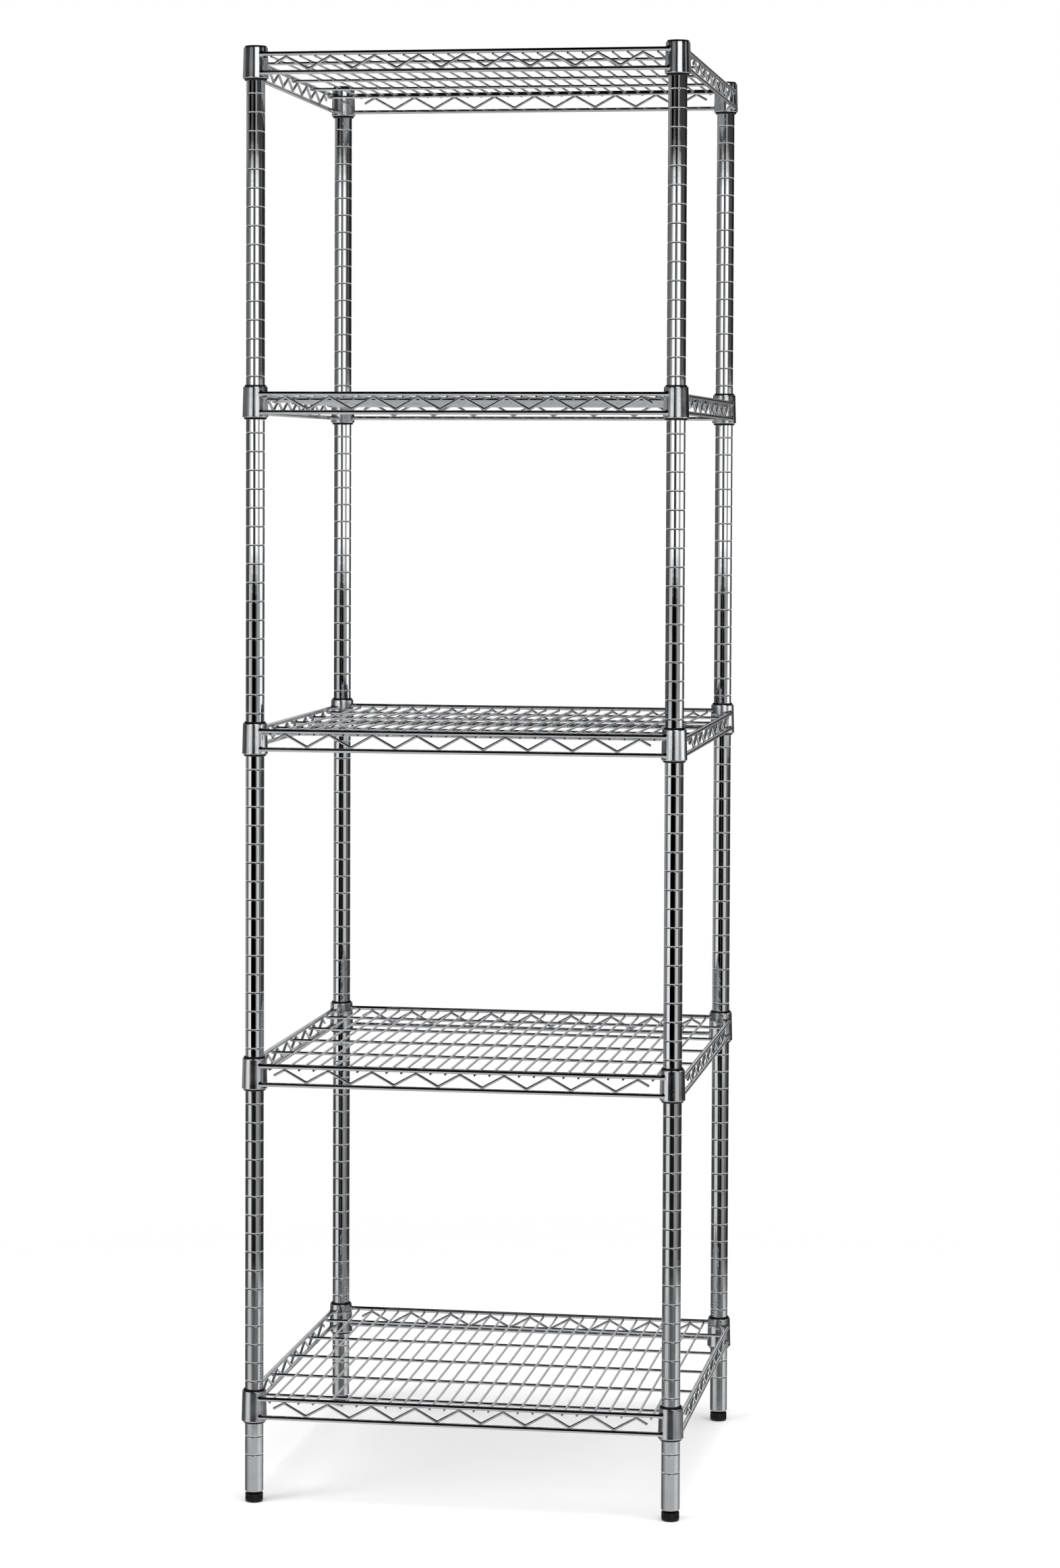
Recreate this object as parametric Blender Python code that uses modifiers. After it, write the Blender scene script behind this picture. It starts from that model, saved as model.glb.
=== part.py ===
"""A square chrome wire shelving rack with five shelves on four grooved posts.

Each shelf is one welded grid with a tapered collar at each corner. The collar
wedges down over a split plastic sleeve, whose inner rib sits in a groove that is
rolled into the post. Metres, +Z up, origin on the floor under the rack's centre.
"""

import math

import bmesh
import bpy
from mathutils import Matrix

# ---- driving dimensions, in metres ----
MM = 0.001
WELD_DISTANCE = 0.002 * MM  # points closer than this become one
SEAM_DISTANCE = 0.01 * MM  # the same, for a turned piece's seam
CLEARANCE = 0.3 * MM  # between pieces that touch
SIDES = 12  # sides of every turned piece, so that nested pieces stay parallel

POST_PITCH = 25.4 * MM  # from one post groove to the next
TIERS = 5
TIER_STEP = 18 * POST_PITCH
OVERALL_SIDE = 609.6 * MM  # across the collars, both ways

COLLAR_BOTTOM = 112.0 * MM  # height of the lowest collar's lower rim
COLLAR_HEIGHT = 42.0 * MM
COLLAR_TOP_RADIUS = 16.4 * MM
COLLAR_FOOT_RADIUS = 17.5 * MM
COLLAR_WALL = 1.5 * MM
COLLAR_ROUND = 1.0 * MM

POST_RADIUS = 12.7 * MM
POST_WALL = 1.2 * MM
POST_BOTTOM = 15.0 * MM
POST_TOP = 1981.0 * MM
GROOVE_DEPTH = 0.8 * MM
GROOVE_WIDTH = 3.0 * MM

SLEEVE_BELOW = 4.0 * MM  # what shows of the sleeve under a collar
SLEEVE_ABOVE = 2.0 * MM  # and over it
SLEEVE_END_WALL = 1.3 * MM
RIB_DEPTH = 0.7 * MM
RIB_WIDTH = 2.2 * MM
GROOVE_IN_COLLAR = 30.0 * MM  # the sleeve's groove, above the collar's lower rim

# heights above the collar's lower rim
END_TOP_HEIGHT = 32.0 * MM  # upper wires of the front and back trusses
SIDE_TOP_HEIGHT = 29.1 * MM
TRUSS_FOOT_HEIGHT = 7.0 * MM
DECK_HEIGHT = 28.3 * MM
CROSS_HEIGHT = 24.2 * MM

RIM_WIRE_RADIUS = 3.0 * MM
SNAKE_WIRE_RADIUS = 1.9 * MM
DECK_WIRE_RADIUS = 1.6 * MM
CROSS_WIRE_RADIUS = 2.15 * MM
TRUSS_OFFSET = 13.2 * MM  # truss plane, outside the line through the post centres
DECK_WIRE_END = 2.4 * MM  # how far a deck wire runs past the truss plane
RIM_WIRE_END = 13.2 * MM  # how far a rim wire stops short of the post's axis
WELD_SINK = 0.3 * MM
BEND_CLEARANCE = 1.6 * MM  # keeps the middle bends off the rim wires

SNAKE_PERIOD = 60.6 * MM
FRONT_PEAKS = 9
SIDE_PEAKS = 8
SNAKE_TAIL = (15.0 * MM, 7.5 * MM)  # a free end's run beyond the last peak, and its drop
DECK_WIRES = 27
DECK_SPACING = SNAKE_PERIOD / 3
CROSS_WIRES = 5
CROSS_SPACING = 2 * SNAKE_PERIOD

CAP_RISE = 4.0 * MM
CAP_EDGE = 1.0 * MM  # height of the cap's rim, below its dome
CAP_SHOULDER = (0.6, 0.88)  # the dome's middle: share of the post's radius and of the rise
CAP_PLUG_DEPTH = 14.0 * MM

INSERT_HEIGHT = 24.0 * MM  # the threaded insert pressed into the post's lower end
STEM_RADIUS = 4.6 * MM
STEM_LENGTH = 38.0 * MM
FOOT_RADIUS = 12.2 * MM
FOOT_HEIGHT = 12.5 * MM
FOOT_CHAMFER = 2.5 * MM

# ---- values worked out from them ----
POST_CENTRE = OVERALL_SIDE / 2 - COLLAR_FOOT_RADIUS
TRUSS_PLANE = POST_CENTRE + TRUSS_OFFSET
CORNERS = {
    "front_left": (-1, -1),
    "front_right": (1, -1),
    "back_left": (-1, 1),
    "back_right": (1, 1),
}
SLEEVE_TOP = COLLAR_HEIGHT + SLEEVE_ABOVE
SLEEVE_BORE = POST_RADIUS + CLEARANCE
SLEEVE_END_RADIUS = SLEEVE_BORE + SLEEVE_END_WALL
POLYGON_INSET = math.cos(math.pi / SIDES)
HALF_STEP = math.pi / SIDES


def sleeve_radius(height):
    """Outer radius of the sleeve at a height above the collar's lower rim."""
    taper = (COLLAR_FOOT_RADIUS - COLLAR_TOP_RADIUS) / COLLAR_HEIGHT
    return COLLAR_FOOT_RADIUS - COLLAR_WALL - CLEARANCE - taper * height


# ---- collections and materials ----
def new_collection(name, parent):
    collection = bpy.data.collections.new(name)
    parent.children.link(collection)
    return collection


def new_material(name, colour, metallic, roughness):
    material = bpy.data.materials.new(name)
    material.use_nodes = True
    shader = material.node_tree.nodes["Principled BSDF"]
    shader.inputs["Base Color"].default_value = (*colour, 1.0)
    shader.inputs["Metallic"].default_value = metallic
    shader.inputs["Roughness"].default_value = roughness
    return material


for old in list(bpy.data.objects):
    bpy.data.objects.remove(old)
RACK = new_collection("wire_shelving_rack", bpy.context.scene.collection)
TOOLS = new_collection("cutters_and_patterns", bpy.context.scene.collection)
MATERIALS = {
    "shelf_chrome": new_material("shelf_chrome", (0.72, 0.73, 0.75), 1.0, 0.16),
    "post_chrome": new_material("post_chrome", (0.78, 0.79, 0.81), 1.0, 0.10),
    "sleeve_plastic": new_material("sleeve_plastic", (0.02, 0.02, 0.022), 0.0, 0.45),
    "cap_plastic": new_material("cap_plastic", (0.03, 0.03, 0.032), 0.0, 0.38),
    "foot_plastic": new_material("foot_plastic", (0.025, 0.025, 0.027), 0.0, 0.55),
}


# ---- shape helpers ----
def pattern_object(name, data):
    """An object that only lends its shape, kept among the cutters."""
    item = bpy.data.objects.new(name, data)
    TOOLS.objects.link(item)
    item.hide_render = True
    item.display_type = "WIRE"
    return item


def evaluated_mesh(item, name):
    """The item's mesh with its modifiers applied and its seams welded."""
    bpy.context.view_layer.update()
    graph = bpy.context.evaluated_depsgraph_get()
    mesh = bpy.data.meshes.new_from_object(item.evaluated_get(graph), depsgraph=graph)
    mesh.name = name
    shape = bmesh.new()
    shape.from_mesh(mesh)
    bmesh.ops.remove_doubles(shape, verts=shape.verts, dist=WELD_DISTANCE)
    shape.to_mesh(mesh)
    shape.free()
    return mesh


def wire_mesh(name, points, radius, sides, turn=0.0):
    """A wire along a line of points, as a closed mesh with even section area."""
    curve = bpy.data.curves.new(name, "CURVE")
    curve.dimensions = "3D"
    curve.bevel_depth = radius * math.sqrt(2 * math.pi / (sides * math.sin(2 * math.pi / sides)))
    curve.bevel_resolution = (sides - 4) // 2
    curve.use_fill_caps = True
    curve.twist_mode = "Z_UP"
    spline = curve.splines.new("POLY")
    spline.points.add(len(points) - 1)
    for point, place in zip(spline.points, points):
        point.co = (*place, 1.0)
        point.tilt = turn
    item = pattern_object(name, curve)
    mesh = evaluated_mesh(item, name)
    bpy.data.objects.remove(item)
    bpy.data.curves.remove(curve)
    return mesh


def turned_mesh(name, profile, closed):
    """A profile turned about Z: (radius to the flats, height) points, outer side first."""
    shape = bmesh.new()
    points = [shape.verts.new((radius / POLYGON_INSET, 0.0, height)) for radius, height in profile]
    for start, end in zip(points, points[1:]):
        shape.edges.new((start, end))
    if closed:
        shape.edges.new((points[-1], points[0]))
    outline = bpy.data.meshes.new(name + "_profile")
    shape.to_mesh(outline)
    shape.free()
    item = pattern_object(name + "_profile", outline)
    screw = item.modifiers.new("turn", "SCREW")
    screw.angle = 2 * math.pi
    screw.steps = SIDES
    screw.render_steps = SIDES
    screw.use_merge_vertices = True
    screw.merge_threshold = SEAM_DISTANCE
    mesh = evaluated_mesh(item, name)
    bpy.data.objects.remove(item)
    mesh.transform(Matrix.Rotation(HALF_STEP, 4, "Z"))
    return mesh


def shade_round(mesh):
    mesh.shade_smooth()
    mesh.set_sharp_from_angle(angle=math.radians(40))


def place_part(name, mesh, material, location, turn=0.0):
    item = bpy.data.objects.new(name, mesh)
    RACK.objects.link(item)
    item.location = location
    item.rotation_euler = (0.0, 0.0, turn)
    if not mesh.materials:
        mesh.materials.append(MATERIALS[material])
    return item


def boolean_mesh(name, base, operation, operand):
    """The base mesh united with, or cut by, an object or a collection."""
    item = pattern_object(name, base)
    step = item.modifiers.new("join", "BOOLEAN")
    step.operation = operation
    step.solver = "EXACT"
    if isinstance(operand, bpy.types.Collection):
        step.operand_type = "COLLECTION"
        step.collection = operand
    else:
        step.object = operand
    mesh = evaluated_mesh(item, name)
    bpy.data.objects.remove(item)
    return mesh


# ---- the shelf ----
def centred(count, spacing):
    """Evenly spaced places about zero."""
    first = -(count - 1) / 2 * spacing
    return [first + index * spacing for index in range(count)]


def snake_points(peaks, low, high):
    """Distance and height of each bend of a snake wire, with its two free ends.

    The last peak and the last valley at each end are welded to the rim wires, and
    the bends between them stay a little clear.
    """
    run, drop = SNAKE_TAIL
    last = (peaks - 1) / 2 * SNAKE_PERIOD
    points = [(-last - run, high - drop)]
    for place in centred(2 * peaks - 1, SNAKE_PERIOD / 2):
        is_peak = abs((place + last) / SNAKE_PERIOD % 1 - 0.5) > 0.25
        at_end = abs(place) > last - 0.75 * SNAKE_PERIOD
        inset = 0.0 if at_end else BEND_CLEARANCE
        points.append((place, high - inset if is_peak else low + inset))
    points.append((last + run, high - drop))
    return points


def collar_mesh():
    taper = (COLLAR_FOOT_RADIUS - COLLAR_TOP_RADIUS) / COLLAR_HEIGHT
    bore_top = COLLAR_TOP_RADIUS - COLLAR_WALL
    bore_foot = COLLAR_FOOT_RADIUS - COLLAR_WALL
    shoulder = COLLAR_TOP_RADIUS + taper * COLLAR_ROUND
    profile = [
        (bore_top, COLLAR_HEIGHT),
        (COLLAR_TOP_RADIUS - COLLAR_ROUND / 2, COLLAR_HEIGHT),
        (shoulder, COLLAR_HEIGHT - COLLAR_ROUND),
        (COLLAR_FOOT_RADIUS, 0.0),
        (bore_foot, 0.0),
    ]
    return turned_mesh("collar", profile, closed=True)


def truss_wires(peaks, along, top_height):
    """Both trusses of one direction: along maps (run, offset, height) to a place."""
    reach = POST_CENTRE - RIM_WIRE_END
    weld = RIM_WIRE_RADIUS + SNAKE_WIRE_RADIUS - WELD_SINK
    wires = []
    for side in (-TRUSS_PLANE, TRUSS_PLANE):
        for height in (top_height, TRUSS_FOOT_HEIGHT):
            ends = [along(-reach, side, height), along(reach, side, height)]
            wires.append(wire_mesh("rim_wire", ends, RIM_WIRE_RADIUS, 6, math.pi / 2))
        bends = snake_points(peaks, TRUSS_FOOT_HEIGHT + weld, top_height - weld)
        path = [along(run, side, height) for run, height in bends]
        wires.append(wire_mesh("snake_wire", path, SNAKE_WIRE_RADIUS, 4, math.pi / 4))
    return wires


def deck_wires():
    reach = TRUSS_PLANE + DECK_WIRE_END
    wires = []
    for x in centred(DECK_WIRES, DECK_SPACING):
        ends = [(x, -reach, DECK_HEIGHT), (x, reach, DECK_HEIGHT)]
        wires.append(wire_mesh("deck_wire", ends, DECK_WIRE_RADIUS, 4))
    return wires


def cross_wires():
    wires = []
    for y in centred(CROSS_WIRES, CROSS_SPACING):
        ends = [(-TRUSS_PLANE, y, CROSS_HEIGHT), (TRUSS_PLANE, y, CROSS_HEIGHT)]
        wires.append(wire_mesh("cross_wire", ends, CROSS_WIRE_RADIUS, 4, math.pi / 4))
    return wires


def shelf_mesh():
    """All the shelf's wires and its four collars, welded into one body."""
    pieces = truss_wires(FRONT_PEAKS, lambda run, side, z: (run, side, z), END_TOP_HEIGHT)
    pieces += truss_wires(SIDE_PEAKS, lambda run, side, z: (side, run, z), SIDE_TOP_HEIGHT)
    pieces += deck_wires()
    pieces += cross_wires()
    collar = collar_mesh()
    for across, deep in CORNERS.values():
        copy = collar.copy()
        copy.transform(Matrix.Translation((across * POST_CENTRE, deep * POST_CENTRE, 0.0)))
        pieces.append(copy)
    welded = new_collection("shelf_pieces", TOOLS)
    for piece in pieces[1:]:
        item = bpy.data.objects.new(piece.name, piece)
        welded.objects.link(item)
        item.hide_render = True
        item.display_type = "WIRE"
    mesh = boolean_mesh("shelf", pieces[0], "UNION", welded)
    for item in list(welded.objects):
        bpy.data.objects.remove(item)
    bpy.data.collections.remove(welded)
    return mesh


def build_shelves():
    mesh = shelf_mesh()
    shade_round(mesh)
    for tier in range(TIERS):
        height = COLLAR_BOTTOM + tier * TIER_STEP
        place_part(f"shelf_{tier + 1}", mesh, "shelf_chrome", (0.0, 0.0, height))


# ---- posts, caps and feet ----
def v_groove(height, radius, depth, width):
    """Three profile points of a V cut into a turned surface, top to bottom."""
    return [
        (radius, height + width / 2),
        (radius - depth, height),
        (radius, height - width / 2),
    ]


def post_mesh():
    """A tube with the grooves that carry sleeves, and its lower insert's plain bore."""
    profile = [(POST_RADIUS, POST_TOP)]
    for tier in reversed(range(TIERS)):
        height = COLLAR_BOTTOM + tier * TIER_STEP + GROOVE_IN_COLLAR
        profile += v_groove(height, POST_RADIUS, GROOVE_DEPTH, GROOVE_WIDTH)
    profile += [
        (POST_RADIUS, POST_BOTTOM),
        (STEM_RADIUS + CLEARANCE, POST_BOTTOM),
        (STEM_RADIUS + CLEARANCE, POST_BOTTOM + INSERT_HEIGHT),
        (POST_RADIUS - POST_WALL, POST_BOTTOM + INSERT_HEIGHT),
        (POST_RADIUS - POST_WALL, POST_TOP),
    ]
    return turned_mesh("post", profile, closed=True)


def cap_mesh():
    """A domed cap whose plug sits in the post's upper end; its origin is the post's top."""
    plug_radius = POST_RADIUS - POST_WALL - CLEARANCE
    profile = [
        (0.0, CAP_RISE),
        (POST_RADIUS * CAP_SHOULDER[0], CAP_RISE * CAP_SHOULDER[1]),
        (POST_RADIUS, CLEARANCE + CAP_EDGE),
        (POST_RADIUS, CLEARANCE),
        (plug_radius, CLEARANCE),
        (plug_radius, -CAP_PLUG_DEPTH),
        (0.0, -CAP_PLUG_DEPTH),
    ]
    return turned_mesh("post_cap", profile, closed=False)


def foot_mesh():
    """A levelling foot: a round glide on the stem that screws into the insert."""
    profile = [
        (0.0, FOOT_HEIGHT + STEM_LENGTH),
        (STEM_RADIUS, FOOT_HEIGHT + STEM_LENGTH),
        (STEM_RADIUS, FOOT_HEIGHT),
        (FOOT_RADIUS, FOOT_HEIGHT),
        (FOOT_RADIUS, FOOT_CHAMFER),
        (FOOT_RADIUS - FOOT_CHAMFER, 0.0),
        (0.0, 0.0),
    ]
    return turned_mesh("levelling_foot", profile, closed=False)


def build_posts():
    post = post_mesh()
    cap = cap_mesh()
    foot = foot_mesh()
    for mesh in (post, cap, foot):
        shade_round(mesh)
    for corner, (across, deep) in CORNERS.items():
        x = across * POST_CENTRE
        y = deep * POST_CENTRE
        place_part(f"post_{corner}", post, "post_chrome", (x, y, 0.0))
        place_part(f"post_cap_{corner}", cap, "cap_plastic", (x, y, POST_TOP))
        place_part(f"levelling_foot_{corner}", foot, "foot_plastic", (x, y, 0.0))


# ---- split sleeves ----
def sleeve_half_mesh():
    """Half of a tapered sleeve, on the +Y side of its seam; the other half is the same."""
    rib = v_groove(GROOVE_IN_COLLAR, SLEEVE_BORE, RIB_DEPTH, RIB_WIDTH)
    profile = [
        (SLEEVE_BORE, SLEEVE_TOP),
        (sleeve_radius(SLEEVE_TOP), SLEEVE_TOP),
        (sleeve_radius(0.0), 0.0),
        (SLEEVE_END_RADIUS, -SLEEVE_BELOW),
        (SLEEVE_BORE, -SLEEVE_BELOW),
        *reversed(rib),
    ]
    ring = turned_mesh("sleeve_ring", profile, closed=True)
    ring.transform(Matrix.Rotation(-HALF_STEP, 4, "Z"))
    block = bmesh.new()
    bmesh.ops.create_cube(block, size=4 * COLLAR_FOOT_RADIUS)
    block_mesh = bpy.data.meshes.new("seam_cutter")
    block.to_mesh(block_mesh)
    block.free()
    cutter = pattern_object("seam_cutter", block_mesh)
    cutter.location = (0.0, CLEARANCE / 2 - 2 * COLLAR_FOOT_RADIUS, SLEEVE_TOP / 2)
    mesh = boolean_mesh("sleeve_half", ring, "DIFFERENCE", cutter)
    bpy.data.objects.remove(cutter)
    return mesh


def build_sleeves():
    mesh = sleeve_half_mesh()
    shade_round(mesh)
    for tier in range(TIERS):
        height = COLLAR_BOTTOM + tier * TIER_STEP
        for corner, (across, deep) in CORNERS.items():
            place = (across * POST_CENTRE, deep * POST_CENTRE, height)
            outward = math.atan2(deep, across) - math.pi / 2
            name = f"sleeve_{tier + 1}_{corner}"
            place_part(f"{name}_outer", mesh, "sleeve_plastic", place, outward)
            place_part(f"{name}_inner", mesh, "sleeve_plastic", place, outward + math.pi)


build_shelves()
build_posts()
build_sleeves()
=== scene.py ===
"""The looks of a square chrome wire shelving rack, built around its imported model.

Every wire, weld, collar, post, split sleeve, cap and levelling foot is made here as
its own mesh, in metres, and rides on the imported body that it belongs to.
"""

import math

import bmesh
import bpy
from mathutils import Matrix, Vector
from mathutils.noise import noise


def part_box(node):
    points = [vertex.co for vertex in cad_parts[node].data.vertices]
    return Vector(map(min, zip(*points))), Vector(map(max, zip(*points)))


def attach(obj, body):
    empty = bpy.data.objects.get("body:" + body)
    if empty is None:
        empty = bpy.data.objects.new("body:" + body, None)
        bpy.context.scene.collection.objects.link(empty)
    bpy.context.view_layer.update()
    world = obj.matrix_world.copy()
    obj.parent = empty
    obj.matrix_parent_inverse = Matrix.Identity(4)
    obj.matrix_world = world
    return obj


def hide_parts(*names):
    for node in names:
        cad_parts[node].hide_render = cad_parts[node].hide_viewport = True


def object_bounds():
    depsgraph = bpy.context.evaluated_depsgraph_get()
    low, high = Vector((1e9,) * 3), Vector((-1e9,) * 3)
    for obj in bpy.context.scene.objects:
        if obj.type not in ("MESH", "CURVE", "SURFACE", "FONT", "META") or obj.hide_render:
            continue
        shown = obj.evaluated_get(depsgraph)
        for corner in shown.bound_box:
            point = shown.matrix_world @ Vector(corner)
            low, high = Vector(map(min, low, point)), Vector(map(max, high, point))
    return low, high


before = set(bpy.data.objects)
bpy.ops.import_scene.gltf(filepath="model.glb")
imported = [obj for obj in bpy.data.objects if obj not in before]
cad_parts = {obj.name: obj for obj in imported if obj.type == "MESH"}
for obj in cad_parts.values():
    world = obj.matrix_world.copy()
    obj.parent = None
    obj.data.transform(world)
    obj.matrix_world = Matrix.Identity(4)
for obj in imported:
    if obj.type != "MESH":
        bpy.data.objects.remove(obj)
cad_low, cad_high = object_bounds()

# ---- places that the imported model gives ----
MM = 0.001
TIERS = 5
CORNERS = {
    "front_left": (-1, -1),
    "front_right": (1, -1),
    "back_left": (-1, 1),
    "back_right": (1, 1),
}
post_low, post_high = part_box("post_front_right")
POST_CENTRE = (post_low.x + post_high.x) / 2
POST_RADIUS = (post_high.x - post_low.x) / 2
POST_BOTTOM = post_low.z
POST_TOP = post_high.z
COLLAR_BOTTOMS = [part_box(f"shelf_{tier}")[0].z for tier in range(1, TIERS + 1)]
COLLAR_FOOT_RADIUS = cad_high.x - POST_CENTRE
COLLAR_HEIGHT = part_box("shelf_1")[1].z - COLLAR_BOTTOMS[0]
CAP_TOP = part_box("post_cap_front_right")[1].z

# ---- sizes of the real pieces ----
COLLAR_TOP_RADIUS = 16.4 * MM
COLLAR_WALL = 1.5 * MM
RIM_RADIUS = 3.0 * MM
SNAKE_RADIUS = 1.9 * MM
DECK_RADIUS = 1.6 * MM
CROSS_RADIUS = 2.15 * MM
TRUSS_PLANE = POST_CENTRE + 13.2 * MM
END_TOP = 32.0 * MM  # heights here are above the collar's lower rim
SIDE_TOP = 29.4 * MM
TRUSS_FOOT = 7.0 * MM
DECK_HEIGHT = 28.2 * MM
CROSS_HEIGHT = 24.55 * MM
SNAKE_PERIOD = 60.6 * MM
SNAKE_GAP = 4.7 * MM  # from a rim wire's centre to the snake wire's, where they are welded
SNAKE_BEND = 4.5 * MM
SNAKE_TAIL = 15.0 * MM
FRONT_PEAKS = 9
SIDE_PEAKS = 8
DECK_WIRES = 27
DECK_SPACING = SNAKE_PERIOD / 3
DECK_PAST = 2.4 * MM  # how far the deck and cross wires run past the truss's middle
CROSS_WIRES = 5
CROSS_SPACING = SNAKE_PERIOD * 2
CROSS_PAST = 1.6 * MM
CROP_CHAMFER = 0.3  # a cropped wire end's chamfer and face, as shares of its radius
CROP_FACE = 0.72

# Where a rim wire is welded over a collar it is pressed flat against the collar's face.
PRESSED = tuple(past * MM for past in (20.0, 13.2, 12.0, 10.8, 9.6, 8.8))  # from the post's axis
PRESSED_TIP = 9.0 * MM  # nearer to the axis than this, the wire is also pressed lower
PRESSED_TIP_HEIGHT = 0.55
PRESSED_THINNEST = 0.25 * MM
PRESSED_BITE = 0.55  # how deep the wire's back goes into the collar's wall

POST_PITCH = 25.4 * MM
FIRST_GROOVE = 65.8 * MM
GROOVE_DEPTH = 0.5 * MM
GROOVE_WIDTH = 2.2 * MM
POST_WALL = 1.2 * MM
SLEEVE_BELOW = 3.0 * MM
SLEEVE_ABOVE = 2.0 * MM
SLEEVE_BORE = POST_RADIUS + 0.3 * MM
SEAM_GAP = 0.5 * MM
GROOVE_IN_COLLAR = 30.0 * MM

# Half sizes of the weld beads, along X, along Y and up.
CROSSING_WELD = (1.75 * MM, 1.95 * MM, 0.85 * MM)
END_WELD = (2.1 * MM, 2.3 * MM, 0.9 * MM)
SIDE_WELD = (2.2 * MM, 2.5 * MM, 1.0 * MM)
# And these along the wire, outwards and up.
SNAKE_WELD = (2.8 * MM, 1.7 * MM, 1.0 * MM)
NUGGET = (4.4 * MM, 2.7 * MM, 4.1 * MM)
NUGGET_PAST = 10.9 * MM  # its place, from the post's axis: along the wire, then outwards
NUGGET_OFFSET = 13.3 * MM
WELD_UNEVEN = 0.12  # how far a bead's skin swells and sinks, as a share of its size

# How finely the round shapes are divided.
POST_SIDES = 40
COLLAR_SIDES = 56
SLEEVE_SIDES = 24
STEM_SIDES = 24
RIM_SIDES = 16
WIRE_SIDES = 12
SMALL_BEAD_ROWS = 3
SMALL_BEAD_SIDES = 8
NUGGET_ROWS = 11
NUGGET_SIDES = 18

# ---- camera, in metres and degrees ----
CAMERA_PLACE = (0.9408, -5.5438, 1.4129)
CAMERA_TURN = (87.739, -0.224, 9.191)
CAMERA_LENS = 91.03
CAMERA_RISE = -0.1  # lens shift, which keeps the posts nearly parallel


# ---- mesh helpers ----
class Shape:
    """Points and faces of one piece, gathered before its mesh is made."""

    def __init__(self):
        self.points = []
        self.faces = []

    def add_rings(self, rings):
        """Skins a run of rings with the same number of points, and closes both ends."""
        base = len(self.points)
        count = len(rings[0])
        for ring in rings:
            self.points += [Vector(point) for point in ring]
        for row in range(len(rings) - 1):
            for step in range(count):
                after = (step + 1) % count
                low = base + row * count
                high = low + count
                self.faces.append((low + step, low + after, high + after, high + step))
        self.faces.append(tuple(base + step for step in reversed(range(count))))
        top = base + (len(rings) - 1) * count
        self.faces.append(tuple(top + step for step in range(count)))

    def add_copy(self, other, matrix):
        """Adds another shape, moved by a matrix."""
        base = len(self.points)
        self.points += [matrix @ point for point in other.points]
        flip = matrix.determinant() < 0
        for face in other.faces:
            moved = tuple(base + index for index in face)
            self.faces.append(moved[::-1] if flip else moved)

    def mesh(self, name, material, sharp_degrees=38.0):
        """The shape as a mesh, with edges left sharp where they turn by more than that."""
        made = bpy.data.meshes.new(name)
        made.from_pydata(self.points, [], self.faces)
        tidy = bmesh.new()
        tidy.from_mesh(made)
        bmesh.ops.recalc_face_normals(tidy, faces=tidy.faces)
        tidy.to_mesh(made)
        tidy.free()
        made.shade_smooth()
        made.set_sharp_from_angle(angle=math.radians(sharp_degrees))
        made.materials.append(material)
        return made


def wire(shape, stations, side, sides):
    """A planar wire: (place, radius, thickness across the plane) stations, side square to it."""
    rings = []
    for index, (place, radius, squash) in enumerate(stations):
        before = stations[max(index - 1, 0)][0]
        after = stations[min(index + 1, len(stations) - 1)][0]
        along = (Vector(after) - Vector(before)).normalized()
        up = along.cross(side)
        ring = []
        for step in range(sides):
            angle = 2 * math.pi * (step + 0.5) / sides
            offset = side * (math.cos(angle) * radius * squash) + up * (math.sin(angle) * radius)
            ring.append(Vector(place) + offset)
        rings.append(ring)
    shape.add_rings(rings)


def cut_ends(places, radius):
    """Stations of a round wire with the small chamfer that a cropped end has."""
    first, last = Vector(places[0]), Vector(places[-1])
    inward = (Vector(places[1]) - first).normalized()
    outward = (last - Vector(places[-2])).normalized()
    chamfer = radius * CROP_CHAMFER
    stations = [(first, radius * CROP_FACE, 1.0), (first + inward * chamfer, radius, 1.0)]
    stations += [(Vector(place), radius, 1.0) for place in places[1:-1]]
    stations += [(last - outward * chamfer, radius, 1.0), (last, radius * CROP_FACE, 1.0)]
    return stations


def turned(profile, sides=POST_SIDES, start=0.0, sweep=2 * math.pi):
    """A closed (radius, height) outline turned about Z, all the way or part of it."""
    shape = Shape()
    whole = sweep >= 2 * math.pi - 1e-6
    columns = sides if whole else sides + 1
    count = len(profile)
    for column in range(columns):
        angle = start + sweep * column / sides
        across, deep = math.cos(angle), math.sin(angle)
        for radius, height in profile:
            shape.points.append(Vector((radius * across, radius * deep, height)))
    for column in range(sides):
        near = column * count
        far = ((column + 1) % columns) * count
        for row in range(count):
            after = (row + 1) % count
            shape.faces.append((near + row, far + row, far + after, near + after))
    if not whole:
        shape.faces.append(tuple(range(count)))
        shape.faces.append(tuple(reversed(range(sides * count, sides * count + count))))
    return shape


def capped_turn(profile, sides=POST_SIDES):
    """An open (radius, height) outline turned about Z, with a flat disc at each end."""
    shape = Shape()
    rings = []
    for radius, height in profile:
        ring = []
        for step in range(sides):
            angle = 2 * math.pi * step / sides
            ring.append((radius * math.cos(angle), radius * math.sin(angle), height))
        rings.append(ring)
    shape.add_rings(rings)
    return shape


def arc(centre, radius, first, last, steps):
    """Points of an arc in the (radius, height) plane, angles in degrees from the radius."""
    points = []
    for step in range(steps + 1):
        angle = math.radians(first + (last - first) * step / steps)
        points.append((centre[0] + radius * math.cos(angle), centre[1] + radius * math.sin(angle)))
    return points


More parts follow.
